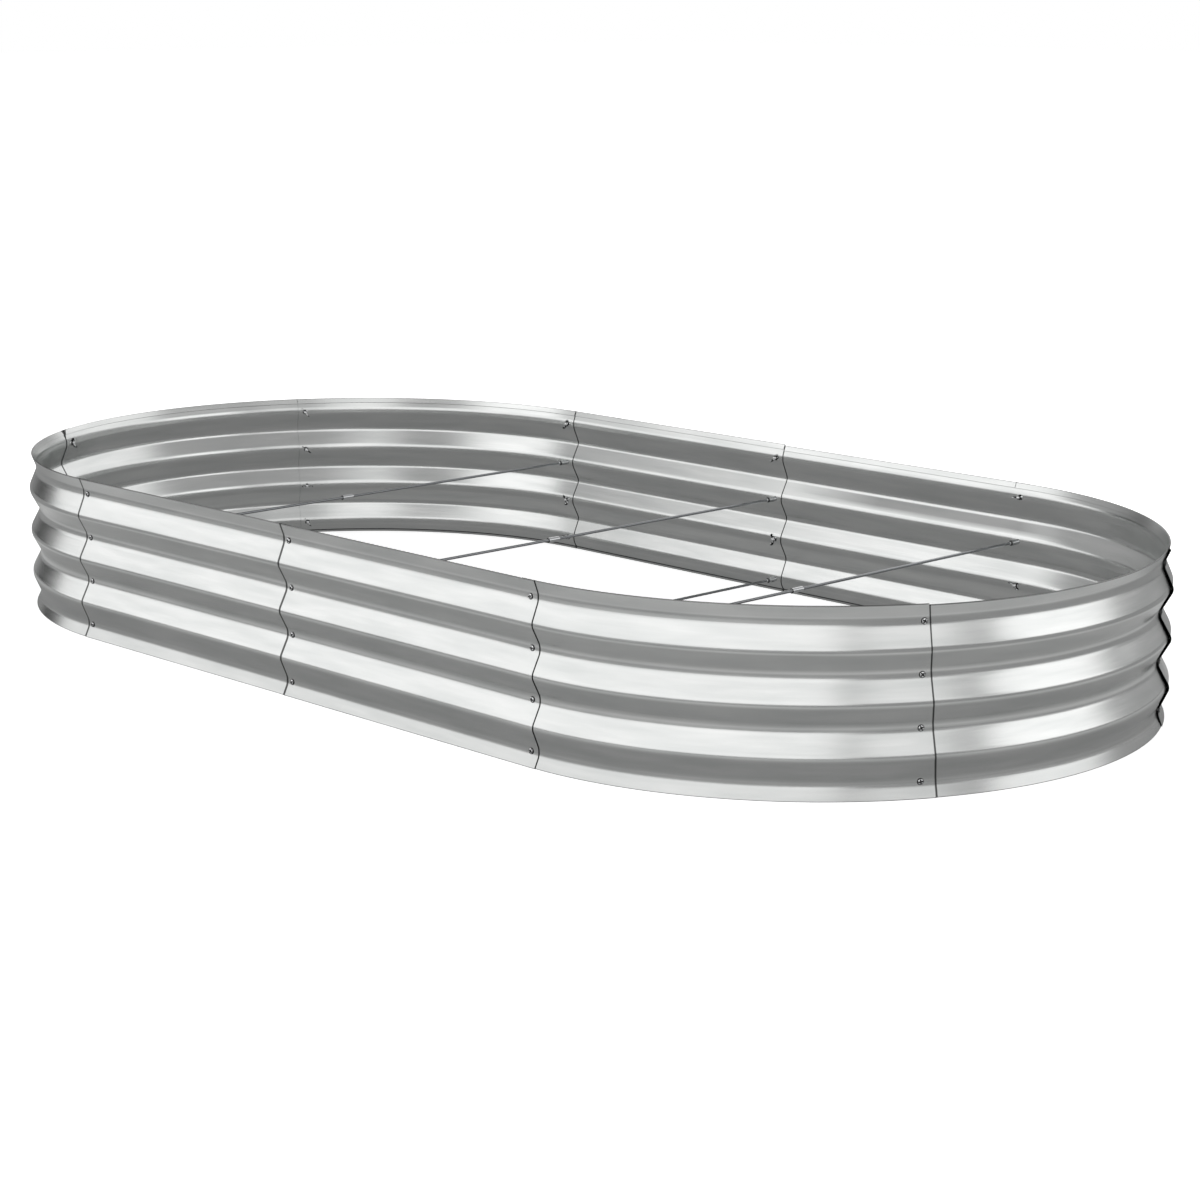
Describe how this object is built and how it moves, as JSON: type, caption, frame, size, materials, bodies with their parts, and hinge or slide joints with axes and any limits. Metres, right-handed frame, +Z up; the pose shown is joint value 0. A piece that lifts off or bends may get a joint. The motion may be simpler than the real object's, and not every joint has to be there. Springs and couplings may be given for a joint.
{
  "type": "raised garden bed",
  "caption": "Long oval, open-bottomed raised garden bed: corrugated steel wall panels lapped and screwed at their seams, with a folded rim, wing nuts and cross tie rods inside.",
  "frame": {"origin": "on the ground in the middle of the oval", "axes": "+X along the bed, +Y towards its back wall, +Z up"},
  "size_m": [2.3742, 1.204, 0.29],
  "materials": {
    "galvanised_sheet": "bright galvanised sheet with faint rolling streaks",
    "zinc_fasteners": "zinc plated",
    "rod_steel": "zinc plated rod, darker than the sheet"
  },
  "bodies": {
    "root": {"panel_back_left": "galvanised_sheet", "panel_back_right": "galvanised_sheet", "panel_corner_left_back": "galvanised_sheet", "panel_corner_left_front": "galvanised_sheet", "panel_corner_right_back": "galvanised_sheet", "panel_corner_right_front": "galvanised_sheet", "panel_end_left": "galvanised_sheet", "panel_end_right": "galvanised_sheet", "panel_front_left": "galvanised_sheet", "panel_front_right": "galvanised_sheet", "rod_screw_back_left_2": "zinc_fasteners", "rod_screw_back_middle_2": "zinc_fasteners", "rod_screw_back_middle_4": "zinc_fasteners", "rod_screw_back_right_2": "zinc_fasteners", "rod_screw_front_left_2": "zinc_fasteners", "rod_screw_front_middle_2": "zinc_fasteners", "rod_screw_front_middle_4": "zinc_fasteners", "rod_screw_front_right_2": "zinc_fasteners", "tie_rod_left_back": "rod_steel", "tie_rod_left_front": "rod_steel", "tie_rod_low_back": "rod_steel", "tie_rod_low_front": "rod_steel", "tie_rod_middle_back": "rod_steel", "tie_rod_middle_front": "rod_steel", "tie_rod_right_back": "rod_steel", "tie_rod_right_front": "rod_steel", "wing_screw_back_left_1": "zinc_fasteners", "wing_screw_back_left_3": "zinc_fasteners", "wing_screw_back_left_4": "zinc_fasteners", "wing_screw_back_middle_1": "zinc_fasteners", "wing_screw_back_middle_3": "zinc_fasteners", "wing_screw_back_right_1": "zinc_fasteners", "wing_screw_back_right_3": "zinc_fasteners", "wing_screw_back_right_4": "zinc_fasteners", "wing_screw_front_left_1": "zinc_fasteners", "wing_screw_front_left_3": "zinc_fasteners", "wing_screw_front_left_4": "zinc_fasteners", "wing_screw_front_middle_1": "zinc_fasteners", "wing_screw_front_middle_3": "zinc_fasteners", "wing_screw_front_right_1": "zinc_fasteners", "wing_screw_front_right_3": "zinc_fasteners", "wing_screw_front_right_4": "zinc_fasteners", "wing_screw_left_back_1": "zinc_fasteners", "wing_screw_left_back_2": "zinc_fasteners", "wing_screw_left_back_3": "zinc_fasteners", "wing_screw_left_back_4": "zinc_fasteners", "wing_screw_left_front_1": "zinc_fasteners", "wing_screw_left_front_2": "zinc_fasteners", "wing_screw_left_front_3": "zinc_fasteners", "wing_screw_left_front_4": "zinc_fasteners", "wing_screw_right_back_1": "zinc_fasteners", "wing_screw_right_back_2": "zinc_fasteners", "wing_screw_right_back_3": "zinc_fasteners", "wing_screw_right_back_4": "zinc_fasteners", "wing_screw_right_front_1": "zinc_fasteners", "wing_screw_right_front_2": "zinc_fasteners", "wing_screw_right_front_3": "zinc_fasteners", "wing_screw_right_front_4": "zinc_fasteners"}
  },
  "joints": []
}
